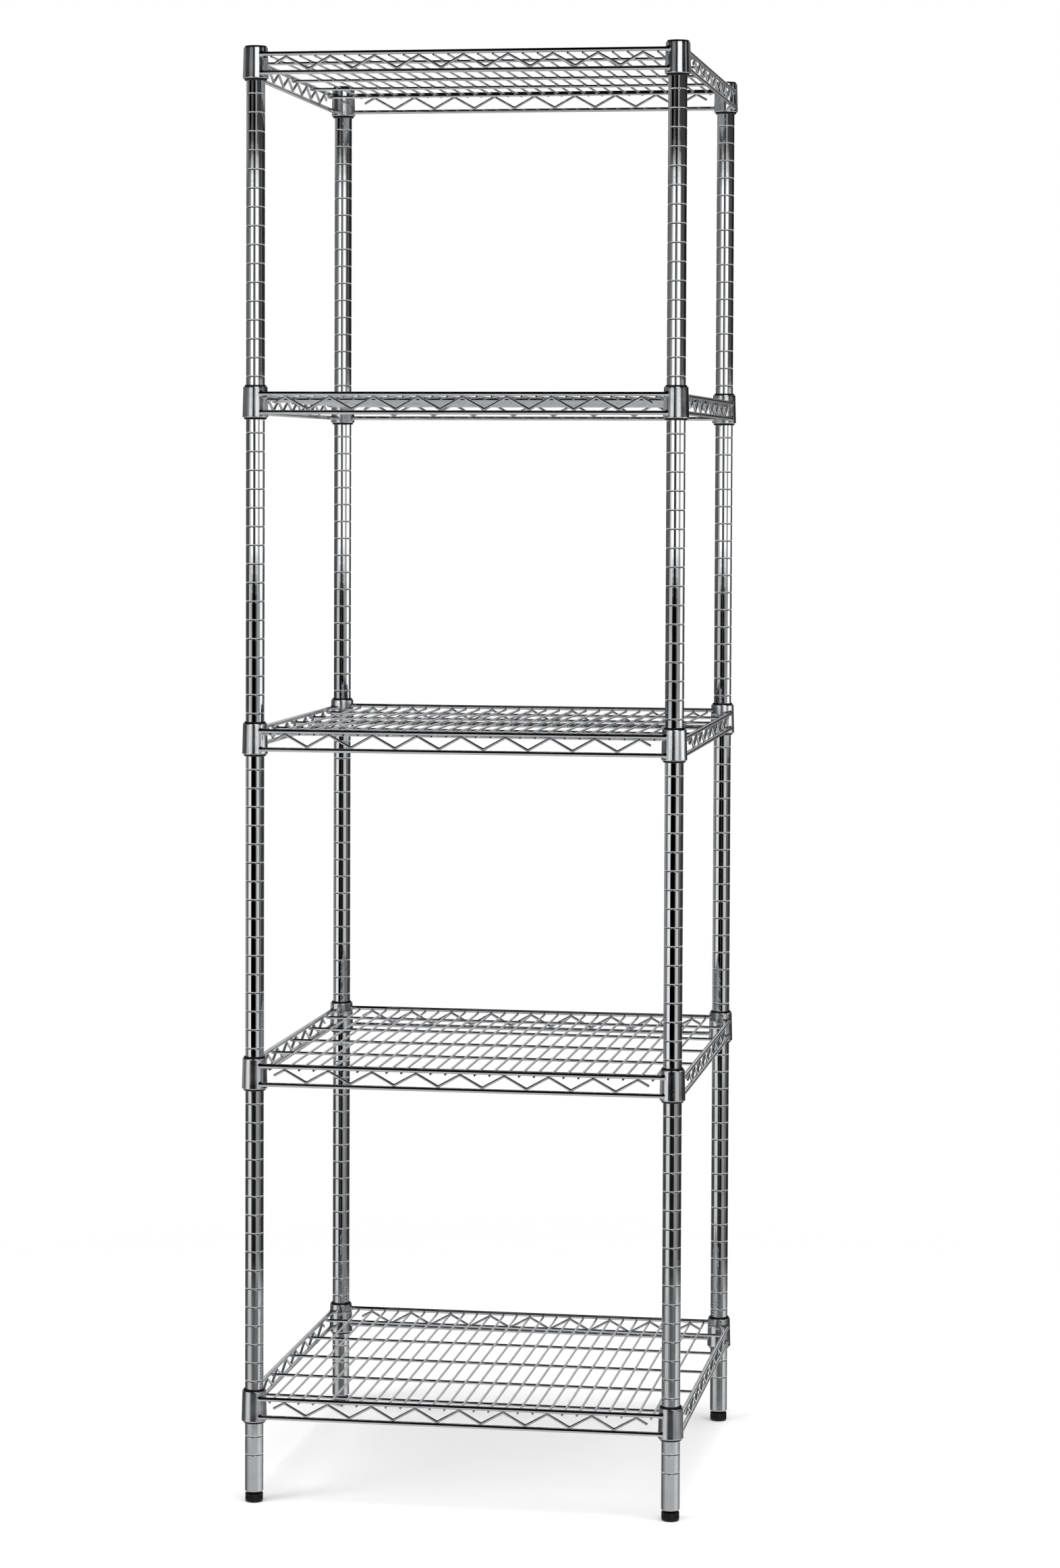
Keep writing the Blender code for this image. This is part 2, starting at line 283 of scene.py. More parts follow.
def bead(shape, place, size, seed, rows=SMALL_BEAD_ROWS, sides=SMALL_BEAD_SIDES):
    """A flattened weld bead with a slightly uneven skin, which the seed picks."""
    rings = []
    for row in range(rows):
        rise = math.pi * (row + 0.6) / (rows + 0.2)
        ring = []
        for step in range(sides):
            angle = 2 * math.pi * step / sides
            wide = math.sin(rise)
            ray = Vector((wide * math.cos(angle), wide * math.sin(angle), -math.cos(rise)))
            swell = 1.0 + WELD_UNEVEN * noise(ray * 1.7 + Vector((seed * 3.1, seed * 1.3, 0.0)))
            skin = Vector((ray.x * size[0], ray.y * size[1], ray.z * size[2]))
            ring.append(Vector(place) + skin * swell)
        rings.append(ring)
    shape.add_rings(rings)


def centred(count, spacing):
    """So many places, evenly spaced about zero."""
    first = -(count - 1) / 2 * spacing
    return [first + index * spacing for index in range(count)]


# ---- materials ----
# The scale of each texture, in features to a metre.
HAZE_SCALE = 38.0
RIPPLE_SCALE = 70.0
SCUFF_SCALE = 900.0
RUB_SCALE = 110.0
SHEEN_SCALE = 300.0
CLOUD_SCALE = 160.0
THREAD_MARK_SCALE = 1400.0
SCUFF_ROUGHNESS = 0.03
PLASTIC_IOR = 1.49
PLASTIC_SPECULAR = 0.3


class Finish:
    """A node material being put together: a shader, and textures in the piece's own space."""

    def __init__(self, name):
        self.material = bpy.data.materials.new(name)
        self.material.use_nodes = True
        self.nodes = self.material.node_tree.nodes
        self.links = self.material.node_tree.links
        self.shader = self.nodes["Principled BSDF"]
        self.space = self.nodes.new("ShaderNodeTexCoord").outputs["Object"]

    def noise(self, scale, detail=3.0, stretch=(1.0, 1.0, 1.0)):
        """Noise of so many features to a metre; stretch multiplies the three axes."""
        mapping = self.nodes.new("ShaderNodeMapping")
        mapping.inputs["Scale"].default_value = stretch
        self.links.new(self.space, mapping.inputs["Vector"])
        texture = self.nodes.new("ShaderNodeTexNoise")
        texture.inputs["Scale"].default_value = scale
        texture.inputs["Detail"].default_value = detail
        self.links.new(mapping.outputs["Vector"], texture.inputs["Vector"])
        return texture.outputs["Fac"]

    def spread(self, value, low, high, from_low=0.3, from_high=0.7):
        """The value moved from one range to another, clamped."""
        node = self.nodes.new("ShaderNodeMapRange")
        node.inputs["From Min"].default_value = from_low
        node.inputs["From Max"].default_value = from_high
        node.inputs["To Min"].default_value = low
        node.inputs["To Max"].default_value = high
        self.links.new(value, node.inputs["Value"])
        return node.outputs["Result"]

    def blend(self, value, first, second):
        """A colour between two, by the value."""
        node = self.nodes.new("ShaderNodeMix")
        node.data_type = "RGBA"
        node.inputs["A"].default_value = (*first, 1.0)
        node.inputs["B"].default_value = (*second, 1.0)
        self.links.new(value, node.inputs["Factor"])
        return node.outputs["Result"]

    def bump(self, height, strength, distance):
        """A bump on top of any bump the shader already has."""
        node = self.nodes.new("ShaderNodeBump")
        node.inputs["Strength"].default_value = strength
        node.inputs["Distance"].default_value = distance
        self.links.new(height, node.inputs["Height"])
        normal = self.shader.inputs["Normal"]
        if normal.is_linked:
            self.links.new(normal.links[0].from_socket, node.inputs["Normal"])
        self.links.new(node.outputs["Normal"], normal)

    def set(self, socket, value):
        """Gives a shader socket a constant, or another node's output."""
        if hasattr(value, "is_output"):
            self.links.new(value, self.shader.inputs[socket])
        else:
            self.shader.inputs[socket].default_value = value


def chrome(name, dark, bright, smooth, dull, ripple, grain):
    """Bright nickel-chrome plate: soft ripple, faint haze and fine rubbing marks."""
    finish = Finish(name)
    haze = finish.noise(HAZE_SCALE, 4.0)
    finish.set("Metallic", 1.0)
    finish.set("Base Color", finish.blend(finish.spread(haze, 0.0, 1.0), dark, bright))
    scuffs = finish.noise(SCUFF_SCALE, 2.0, grain)
    rough = finish.nodes.new("ShaderNodeMath")
    rough.operation = "ADD"
    finish.links.new(finish.spread(haze, smooth, dull), rough.inputs[0])
    finish.links.new(finish.spread(scuffs, 0.0, SCUFF_ROUGHNESS, 0.55, 0.8), rough.inputs[1])
    finish.set("Roughness", rough.outputs["Value"])
    finish.bump(finish.noise(RIPPLE_SCALE, 2.0), ripple, 0.4 * MM)
    finish.bump(scuffs, 0.03, 0.05 * MM)
    return finish.material


def plastic(name, colour, worn, smooth, dull, grain_size):
    """Black moulded plastic: a fine spark-eroded grain, with paler rubbed patches."""
    finish = Finish(name)
    rub = finish.noise(RUB_SCALE, 5.0)
    patches = finish.spread(rub, 0.0, 1.0, 0.58, 0.82)
    finish.set("Base Color", finish.blend(patches, colour, worn))
    finish.set("Roughness", finish.spread(finish.noise(SHEEN_SCALE), smooth, dull))
    finish.set("IOR", PLASTIC_IOR)
    finish.set("Specular IOR Level", PLASTIC_SPECULAR)
    finish.bump(finish.noise(1.0 / grain_size, 1.0), 0.25, 0.05 * MM)
    finish.bump(rub, 0.1, 0.2 * MM)
    return finish.material


def thread_steel(name):
    """Zinc-plated steel of the stems and inserts: greyer and duller than the chrome."""
    finish = Finish(name)
    cloud = finish.noise(CLOUD_SCALE, 4.0)
    dark, pale = (0.34, 0.34, 0.33), (0.55, 0.55, 0.53)
    finish.set("Metallic", 1.0)
    finish.set("Base Color", finish.blend(finish.spread(cloud, 0.0, 1.0), dark, pale))
    finish.set("Roughness", finish.spread(cloud, 0.26, 0.44))
    finish.bump(finish.noise(THREAD_MARK_SCALE, 2.0), 0.15, 0.04 * MM)
    return finish.material


WIRE_CHROME = chrome(
    "wire_chrome", dark=(0.66, 0.67, 0.69), bright=(0.80, 0.81, 0.83),
    smooth=0.04, dull=0.08, ripple=0.10, grain=(1.0, 1.0, 1.0),
)
COLLAR_CHROME = chrome(
    "collar_chrome", dark=(0.68, 0.69, 0.71), bright=(0.82, 0.83, 0.85),
    smooth=0.09, dull=0.16, ripple=0.10, grain=(1.0, 1.0, 0.2),
)
WELD_CHROME = chrome(
    "weld_chrome", dark=(0.52, 0.52, 0.53), bright=(0.84, 0.84, 0.86),
    smooth=0.10, dull=0.22, ripple=0.45, grain=(1.0, 1.0, 1.0),
)
POST_CHROME = chrome(
    "post_chrome_plate", dark=(0.76, 0.77, 0.79), bright=(0.87, 0.88, 0.89),
    smooth=0.015, dull=0.035, ripple=0.03, grain=(1.0, 1.0, 0.06),
)
SLEEVE_BLACK = plastic(
    "sleeve_black", colour=(0.004, 0.004, 0.005), worn=(0.018, 0.018, 0.019),
    smooth=0.30, dull=0.46, grain_size=0.35 * MM,
)
CAP_BLACK = plastic(
    "cap_black", colour=(0.006, 0.006, 0.007), worn=(0.025, 0.025, 0.027),
    smooth=0.26, dull=0.40, grain_size=0.30 * MM,
)
FOOT_BLACK = plastic(
    "foot_black", colour=(0.005, 0.005, 0.006), worn=(0.028, 0.028, 0.030),
    smooth=0.36, dull=0.56, grain_size=0.45 * MM,
)
STEM_STEEL = thread_steel("stem_steel")


# ---- placing a finished piece ----
def place(name, mesh, body, slot, nodes, location):
    """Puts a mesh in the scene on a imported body, in place of the body's own nodes."""
    piece = bpy.data.objects.new(name, mesh)
    bpy.context.scene.collection.objects.link(piece)
    piece.location = location
    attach(piece, body)
    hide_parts(*nodes)
    return piece


# ---- the shelf's wires ----
def truss_run(along_x):
    """Turns (run, offset outwards, height, side of the shelf) into a place."""

    def to_place(run, offset, height, side):
        if along_x:
            return Vector((run, side * offset, height))
        return Vector((side * offset, run, height))

    return to_place


def truss_size(along_x, long, deep, tall):
    """A weld's half sizes along X, Y and Z, from those along its wire, outwards and up."""
    return (long, deep, tall) if along_x else (deep, long, tall)


def rim_stations(to_place, side, height):
    """A rim wire, pressed thinner where each end is welded over a collar's face."""
    outer = TRUSS_PLANE + RIM_RADIUS - POST_CENTRE
    face = collar_radius(height) - COLLAR_WALL * PRESSED_BITE
    half = []
    for past in PRESSED:
        inner = max(outer - 2 * RIM_RADIUS, math.sqrt(max(face**2 - past**2, 0.0)))
        thick = max((outer - inner) / 2, PRESSED_THINNEST)
        tall = RIM_RADIUS * (1.0 if past > PRESSED_TIP else PRESSED_TIP_HEIGHT)
        half.append((POST_CENTRE - past, POST_CENTRE + outer - thick, tall, thick / tall))
    both = [(-run, *rest) for run, *rest in reversed(half)] + half
    stations = []
    for run, offset, tall, squash in both:
        stations.append((to_place(run, offset, height, side), tall, squash))
    return stations


def collar_radius(height):
    """The outer radius of a collar's taper at a height above its lower rim."""
    share = height / COLLAR_HEIGHT
    return COLLAR_FOOT_RADIUS + (COLLAR_TOP_RADIUS - COLLAR_FOOT_RADIUS) * share


def snake_slope(low, high):
    """Slope angle of a snake wire's straight runs, given rounded bends at both heights."""
    slope = math.atan2(high - low, SNAKE_PERIOD / 2)
    for _ in range(25):
        drop = high - low - 2 * SNAKE_BEND * (1 - math.cos(slope))
        run = SNAKE_PERIOD / 2 - 2 * SNAKE_BEND * math.sin(slope)
        slope = math.atan2(drop, run)
    return slope


def snake_path(peaks, low, high):
    """(run, height) points of a snake wire that starts and ends on a falling free tail."""
    slope = snake_slope(low, high)
    tail = SNAKE_TAIL / math.cos(slope) - SNAKE_BEND * math.tan(slope)
    path = []
    for index, run in enumerate(centred(2 * peaks - 1, SNAKE_PERIOD / 2)):
        up = 1 if index % 2 == 0 else -1
        hub = (high - SNAKE_BEND) if up > 0 else (low + SNAKE_BEND)
        for step in range(7):
            angle = slope * (step - 3) / 3
            across, rise = SNAKE_BEND * math.sin(angle), SNAKE_BEND * math.cos(angle)
            path.append((run + across, hub + up * rise))
    first, last = path[0], path[-1]
    run, drop = tail * math.cos(slope), tail * math.sin(slope)
    return [(first[0] - run, first[1] - drop), *path, (last[0] + run, last[1] - drop)]


def rim_wires():
    """The upper and lower rim wire of each side."""
    shape = Shape()
    for along_x, top in ((True, END_TOP), (False, SIDE_TOP)):
        to_place = truss_run(along_x)
        for side in (-1, 1):
            outward = to_place(0.0, 1.0, 0.0, side)
            for height in (top, TRUSS_FOOT):
                wire(shape, rim_stations(to_place, side, height), outward, RIM_SIDES)
    return shape


def snake_wires():
    """The zigzag wire in each side, between its rim wires."""
    shape = Shape()
    for along_x, top, peaks in ((True, END_TOP, FRONT_PEAKS), (False, SIDE_TOP, SIDE_PEAKS)):
        to_place = truss_run(along_x)
        path = snake_path(peaks, TRUSS_FOOT + SNAKE_GAP, top - SNAKE_GAP)
        for side in (-1, 1):
            outward = to_place(0.0, 1.0, 0.0, side)
            places = [to_place(run, TRUSS_PLANE, height, side) for run, height in path]
            wire(shape, cut_ends(places, SNAKE_RADIUS), outward, WIRE_SIDES)
    return shape


def straight_run(reach):
    """The places along a straight wire that is centred on the shelf."""
    return (-reach, -reach * 0.5, 0.0, reach * 0.5, reach)


def deck_wires():
    """The thin wires from front to back that things stand on."""
    shape = Shape()
    for x in centred(DECK_WIRES, DECK_SPACING):
        places = [(x, y, DECK_HEIGHT) for y in straight_run(TRUSS_PLANE + DECK_PAST)]
        wire(shape, cut_ends(places, DECK_RADIUS), Vector((1.0, 0.0, 0.0)), WIRE_SIDES)
    return shape


def cross_wires():
    """The thicker wires from side to side under the deck."""
    shape = Shape()
    for y in centred(CROSS_WIRES, CROSS_SPACING):
        places = [(x, y, CROSS_HEIGHT) for x in straight_run(TRUSS_PLANE + CROSS_PAST)]
        wire(shape, cut_ends(places, CROSS_RADIUS), Vector((0.0, 1.0, 0.0)), WIRE_SIDES)
    return shape


def grid_welds():
    """The small squeezed beads of the resistance welds, wherever two wires meet."""
    shape = Shape()
    seed = 0
    deck_x = centred(DECK_WIRES, DECK_SPACING)
    cross_y = centred(CROSS_WIRES, CROSS_SPACING)
    between = (CROSS_HEIGHT + CROSS_RADIUS + DECK_HEIGHT - DECK_RADIUS) / 2
    under_end = (DECK_HEIGHT + DECK_RADIUS + END_TOP - RIM_RADIUS) / 2
    under_side = (CROSS_HEIGHT + CROSS_RADIUS + SIDE_TOP - RIM_RADIUS) / 2
    for x in deck_x:
        for y in cross_y:
            seed += 1
            bead(shape, (x, y, between), CROSSING_WELD, seed)
        for side in (-1, 1):
            seed += 1
            bead(shape, (x, side * TRUSS_PLANE, under_end), END_WELD, seed)
    for y in cross_y:
        for side in (-1, 1):
            seed += 1
            bead(shape, (side * TRUSS_PLANE, y, under_side), SIDE_WELD, seed)
    for along_x, top, peaks in ((True, END_TOP, FRONT_PEAKS), (False, SIDE_TOP, SIDE_PEAKS)):
        to_place = truss_run(along_x)
        size = truss_size(along_x, *SNAKE_WELD)
        for index, run in enumerate(centred(2 * peaks - 1, SNAKE_PERIOD / 2)):
            height = top - RIM_RADIUS if index % 2 == 0 else TRUSS_FOOT + RIM_RADIUS
            for side in (-1, 1):
                seed += 1
                bead(shape, to_place(run, TRUSS_PLANE, height, side), size, seed)
    return shape


def collar_welds():
    """The nuggets that fix the rim wires' ends to the collars."""
    shape = Shape()
    seed = 0
    for along_x, top in ((True, END_TOP), (False, SIDE_TOP)):
        to_place = truss_run(along_x)
        size = truss_size(along_x, *NUGGET)
        for side in (-1, 1):
            for end in (-1, 1):
                for height in (top, TRUSS_FOOT):
                    seed += 1
                    run = end * (POST_CENTRE - NUGGET_PAST)
                    centre = to_place(run, POST_CENTRE + NUGGET_OFFSET, height, side)
                    bead(shape, centre, size, seed, NUGGET_ROWS, NUGGET_SIDES)
    return shape


def collars():
    """The four tapered collars of a shelf, with rolled upper and lower edges."""
    top_round = 0.9 * MM
    foot_round = 0.7 * MM
    bore_top = COLLAR_TOP_RADIUS - COLLAR_WALL
    bore_foot = COLLAR_FOOT_RADIUS - COLLAR_WALL
    wide, tall = 0.3 * MM, 0.4 * MM  # the bevel at each end of the bore
    top_hub = (COLLAR_TOP_RADIUS - top_round, COLLAR_HEIGHT - top_round)
    foot_hub = (COLLAR_FOOT_RADIUS - foot_round, foot_round)
    profile = [(bore_top, COLLAR_HEIGHT - tall), (bore_top + wide, COLLAR_HEIGHT)]
    profile += arc(top_hub, top_round, 88.0, 1.5, 5)
    for share in (0.96, 0.93, 0.5, 0.07, 0.04):  # doubled near the ends, for flat shading
        profile.append((collar_radius(COLLAR_HEIGHT * share), COLLAR_HEIGHT * share))
    profile += arc(foot_hub, foot_round, 0.0, -88.0, 5)
    profile += [(bore_foot + wide, 0.0), (bore_foot, tall)]
    one = turned(profile, COLLAR_SIDES)
    shape = Shape()
    for across, deep in CORNERS.values():
        shape.add_copy(one, Matrix.Translation((across * POST_CENTRE, deep * POST_CENTRE, 0.0)))
    return shape


def build_shelves():
    """The same seven meshes for each of the five shelves."""
    meshes = {
        "rim_wires": rim_wires().mesh("rim_wires", WIRE_CHROME),
        "snake_wires": snake_wires().mesh("snake_wires", WIRE_CHROME),
        "deck_wires": deck_wires().mesh("deck_wires", WIRE_CHROME),
        "cross_wires": cross_wires().mesh("cross_wires", WIRE_CHROME),
        "grid_welds": grid_welds().mesh("grid_welds", WELD_CHROME),
        "collar_welds": collar_welds().mesh("collar_welds", WELD_CHROME),
        "collars": collars().mesh("collars", COLLAR_CHROME),
    }
    for tier, bottom in enumerate(COLLAR_BOTTOMS, 1):
        shelf = f"shelf_{tier}"
        spot = (0.0, 0.0, bottom)
        for name, mesh in meshes.items():
            place(f"{shelf}_{name}", mesh, f"tier_{tier}", "shelf_chrome", (shelf,), spot)


# ---- posts, inserts, caps and feet ----
def post_shape():
    """A chromed tube with a rolled groove at every pitch from the lowest to the top."""
    half = GROOVE_WIDTH / 2
    edge = 0.6 * MM
    beside = 0.25 * MM  # a ring this close to a groove keeps the shading of the tube flat
    straight = 0.4 * MM  # and one this close to a rounded end
    bore = POST_RADIUS - POST_WALL
    groove = [(0.0, half + beside), (0.0, half), (0.2, half * 0.7), (0.75, half * 0.25), (1.0, 0.0)]
    groove += [(depth, -height) for depth, height in reversed(groove[:-1])]
    profile = [(bore, POST_TOP)]
    profile += arc((POST_RADIUS - edge, POST_TOP - edge), edge, 90.0, 0.0, 4)
    profile.append((POST_RADIUS, POST_TOP - edge - straight))
    count = int((POST_TOP - FIRST_GROOVE) / POST_PITCH) + 1
    for index in reversed(range(count)):
        middle = FIRST_GROOVE + index * POST_PITCH
        for depth, height in groove:
            if middle + height < POST_TOP - edge - straight:
                profile.append((POST_RADIUS - depth * GROOVE_DEPTH, middle + height))
    profile.append((POST_RADIUS, POST_BOTTOM + edge + straight))
    profile += arc((POST_RADIUS - edge, POST_BOTTOM + edge), edge, 0.0, -90.0, 4)
    profile.append((bore, POST_BOTTOM))
    return turned(profile)


def insert_shape():
    """The threaded insert that is pressed into a post's lower end."""
    outer = POST_RADIUS - POST_WALL - 0.05 * MM
    bore = 5.0 * MM
    outline = [  # (radius, height above the post's end)
        (bore, 24 * MM),
        (outer - 1.5 * MM, 24 * MM),
        (outer - 0.6 * MM, 21 * MM),
        (outer, 20 * MM),
        (outer, 0.8 * MM),
        (outer - 0.4 * MM, 0.1 * MM),
        (bore + 0.8 * MM, 0.1 * MM),
        (bore, 0.9 * MM),
    ]
    return turned([(radius, POST_BOTTOM + height) for radius, height in outline])


def cap_shape():
    """A domed cap over the post's end, with a shadow line above the tube and a ribbed plug."""
    low = POST_TOP + 0.3 * MM
    rim = POST_RADIUS - 0.05 * MM
    edge = 0.7 * MM
    dome = CAP_TOP - low - edge
    core, crest = 10.2 * MM, 11.1 * MM
    profile = [(0.0001 * MM, low - 14 * MM), (9.6 * MM, low - 14 * MM), (core, low - 13 * MM)]
    for rib in (11.0, 8.5, 6.0, 3.5):
        profile.append((core, low - (rib + 1.0) * MM))
        profile.append((crest, low - rib * MM))
        profile.append((core, low - (rib - 0.6) * MM))
    profile += [(10.6 * MM, low), (rim - 0.3 * MM, low), (rim, low + 0.3 * MM)]
    steps = 9
    for step in range(1, steps + 1):
        lean = math.pi / 2 * step / steps
        radius = rim * max(math.cos(lean), 0.0) ** 0.62  # fuller at the edge than a ball
        profile.append((radius + 0.001 * MM, low + edge + dome * math.sin(lean)))
    return capped_turn(profile)


def foot_shape():
    """The glide of a levelling foot: a soft-edged puck under a small hexagonal boss."""
    low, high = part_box("levelling_foot_front_right")
    radius = (high.x - low.x) / 2 - 0.02 * MM
    waist = radius - 0.25 * MM
    foot_round, top_round = 3.0 * MM, 1.4 * MM
    top = 12.5 * MM
    profile = [(0.5 * MM, 0.0), (radius - 4.2 * MM, 0.0)]
    profile += arc((radius - foot_round, foot_round), foot_round, -75.0, 0.0, 7)
    profile += [(radius, 8.2 * MM), (waist, 8.6 * MM), (waist, 9.2 * MM), (radius, 9.6 * MM)]
    profile += arc((radius - top_round, top - top_round), top_round, 0.0, 90.0, 5)
    profile += [(6.0 * MM, top)]
    shape = capped_turn(profile)
    boss = []
    for radius, height in ((8.1, 12.4), (8.1, 13.9), (7.5, 14.5), (5.2, 14.5)):
        ring = []
        for corner in range(6):
            angle = math.pi / 3 * corner
            x, y = radius * math.cos(angle), radius * math.sin(angle)
            ring.append((x * MM, y * MM, height * MM))
        boss.append(ring)
    shape.add_rings(boss)
    return shape


def stem_shape():
    """The threaded stem of a levelling foot, as one helical ridge."""
    low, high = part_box("levelling_foot_front_right")
    top = high.z
    pitch = 1.5875 * MM  # sixteen threads to the inch
    crest = 4.55 * MM
    depth = 0.75 * MM
    lead = 0.7 * MM  # how much thinner the tip is, over its last 1.2 mm
    start = 13.5 * MM
    sides = STEM_SIDES
    rows = int((top - start) / (pitch / 6))
    rings = []
    for row in range(rows + 1):
        height = start + (top - start) * row / rows
        ring = []
        for step in range(sides):
            turn = (height / pitch - step / sides) % 1.0
            valley = max(0.0, 1.0 - abs(turn - 0.5) * 2.6)
            fade = min(1.0, (top - height) / pitch, (height - start) / pitch)
            taper = lead * max(0.0, 1.0 - (top - height) / (1.2 * MM))
            radius = crest - depth * valley * fade - taper
            angle = 2 * math.pi * step / sides
            ring.append((radius * math.cos(angle), radius * math.sin(angle), height))
        rings.append(ring)
    shape = Shape()
    shape.add_rings(rings)
    return shape


def build_posts():
    """A post, its insert and cap, and its levelling foot at each corner."""
    post = post_shape().mesh("post", POST_CHROME)
    insert = insert_shape().mesh("post_insert", STEM_STEEL)
    cap = cap_shape().mesh("post_cap", CAP_BLACK)
    foot = foot_shape().mesh("levelling_foot", FOOT_BLACK)
    stem = stem_shape().mesh("foot_stem", STEM_STEEL, 60.0)
    for corner, (across, deep) in CORNERS.items():
        spot = (across * POST_CENTRE, deep * POST_CENTRE, 0.0)
        tube = (f"post_{corner}",)
        top = (f"post_cap_{corner}",)
        low = (f"levelling_foot_{corner}",)
        place(f"post_tube_{corner}", post, "frame", "post_chrome", tube, spot)
        place(f"post_insert_{corner}", insert, "frame", None, tube, spot)
        place(f"domed_cap_{corner}", cap, "frame", "cap_plastic", top, spot)
        place(f"glide_{corner}", foot, f"foot_{corner}", "foot_plastic", low, spot)
        place(f"stem_{corner}", stem, f"foot_{corner}", None, low, spot)


# ---- split sleeves ----
def sleeve_shape(outward):
    """Both halves of a split sleeve, seams square to a corner: lips, a rib and snap tabs."""
    fit = COLLAR_WALL + 0.25 * MM
    top = COLLAR_HEIGHT + SLEEVE_ABOVE
    top_radius = collar_radius(top) - fit
    foot_radius = collar_radius(0.0) - fit
    end_radius = SLEEVE_BORE + 1.3 * MM
    rib = 0.7 * MM
    profile = [
        (SLEEVE_BORE, top - 0.3 * MM),
        (SLEEVE_BORE + 0.3 * MM, top),
        (top_radius - 0.4 * MM, top),
        (top_radius, top - 0.4 * MM),
        (collar_radius(20 * MM) - fit, 20.0 * MM),
        (foot_radius, 0.4 * MM),
        (foot_radius - 0.2 * MM, -0.4 * MM),
        (foot_radius - 0.5 * MM, -SLEEVE_BELOW + 0.9 * MM),
        (end_radius, -SLEEVE_BELOW + 0.1 * MM),
        (SLEEVE_BORE + 0.3 * MM, -SLEEVE_BELOW),
        (SLEEVE_BORE, -SLEEVE_BELOW + 0.3 * MM),
        (SLEEVE_BORE, GROOVE_IN_COLLAR - 1.1 * MM),
        (SLEEVE_BORE - rib, GROOVE_IN_COLLAR - 0.3 * MM),
        (SLEEVE_BORE - rib, GROOVE_IN_COLLAR + 0.3 * MM),
        (SLEEVE_BORE, GROOVE_IN_COLLAR + 1.1 * MM),
    ]
    gap = SEAM_GAP / 2 / SLEEVE_BORE
    half = turned(profile, SLEEVE_SIDES, gap, math.pi - 2 * gap)
    back, high, low = 13.4 * MM, 18 * MM, 8 * MM
    outline = [(back, high), (14.9 * MM, high), (15.0 * MM, low), (back, low)]
    tab = turned(outline, 2, -0.14, 0.2)  # it laps over the seam
    shape = Shape()
    for turn in (0.0, math.pi):
        spin = Matrix.Rotation(outward + turn, 4, "Z")
        shape.add_copy(half, spin)
        shape.add_copy(tab, spin)
    return shape


def build_sleeves():
    """A split sleeve at each corner of each shelf, which stays on its post."""
    for corner, (across, deep) in CORNERS.items():
        outward = math.atan2(deep, across) - math.pi / 2
        mesh = sleeve_shape(outward).mesh(f"split_sleeve_{corner}", SLEEVE_BLACK)
        for tier, bottom in enumerate(COLLAR_BOTTOMS, 1):
            spot = (across * POST_CENTRE, deep * POST_CENTRE, bottom)
            nodes = [f"sleeve_{tier}_{corner}_{half}" for half in ("outer", "inner")]
            place(f"split_sleeve_{tier}_{corner}", mesh, "frame", "sleeve_plastic", nodes, spot)


# ---- floor, light and camera ----
FLOOR_RADIUS = 1.9
FLOOR_SIDES = 96
FLOOR_DARK, FLOOR_PALE = 0.88, 0.91
FLOOR_FADE = 0.6  # the floor is solid out to this radius, and gone near its edge
AIM = (0.0, 0.0, 0.9)  # what the softboxes point at

# What the chrome mirrors: (bearing, brightness) of each card or flag round the rack. A
# bearing is in degrees from the camera's side, + to the right. An upright post mirrors a
# band lower down the lower on it the eye looks, so each stretch of post shows its own cards.
FLOOR_CARDS = ((-90, 0.60), (90, 0.66))
FOOT_CARDS = (
    (-150, 0.12), (-112, 0.15), (-100, 0.30), (-74, 0.47), (50, 0.62), (92, 0.45),
    (112, 0.28), (136, 0.14), (152, 0.55),
)
ANKLE_CARDS = (
    (-150, 0.05), (-128, 0.08), (-98, 0.20), (-82, 0.54), (-38, 0.26), (-22, 0.12), (12, 0.17),
    (52, 0.68), (88, 0.40), (112, 0.20), (136, 0.10), (152, 0.55),
)
SHIN_CARDS = (
    (-150, 0.10), (-128, 0.05), (-84, 0.50), (-72, 0.74), (-38, 0.14), (-28, 0.010), (20, 0.30),
    (62, 0.14), (88, 0.03), (152, 0.50),
)
LOW_CARDS = (
    (-150, 0.32), (-112, 0.13), (-86, 0.60), (-76, 0.90), (-44, 0.0), (14, 0.12), (24, 0.64),
    (58, 0.13), (88, 0.04), (152, 0.25),
)
MIDDLE_CARDS = (
    (-150, 0.09), (-112, 0.04), (-80, 0.55), (-40, 0.06), (-30, 0.0), (12, 0.10), (24, 0.32),
    (66, 1.35), (98, 0.30), (116, 0.04),
)
EYE_CARDS = (
    (-150, 0.12), (-112, 0.07), (-82, 0.24), (-72, 0.50), (-60, 0.90), (-50, 1.40), (-23, 0.02),
    (-8, 0.09), (6, 1.30), (36, 0.38), (60, 1.40), (104, 0.28), (120, 0.04),
)
UPPER_CARDS = (
    (-150, 0.14), (-84, 0.24), (-64, 0.58), (-52, 1.35), (-24, 0.01), (-8, 0.36),
    (6, 1.35), (38, 0.28), (48, 0.07), (76, 0.10), (92, 0.015), (152, 0.04),
)
TOP_CARDS = (
    (-150, 0.30), (-104, 0.12), (-80, 0.0), (-50, 0.12), (-36, 0.03), (-18, 0.0),
    (2, 0.34), (20, 0.05), (100, 0.02), (152, 0.08),
)
HIGH_CARDS = (
    (-150, 0.20), (-104, 0.04), (-56, 0.22), (-24, 0.02), (-4, 1.40), (34, 0.02),
    (70, 0.50), (80, 0.02), (112, 0.20), (148, 0.62),
)
CEILING = ((-90, 0.0), (90, 0.01))
CARD_EDGE = 6.0  # degrees over which one card gives way to the next
BAND_BLUR = 0.008  # half the rise over which one ring of cards gives way to the next
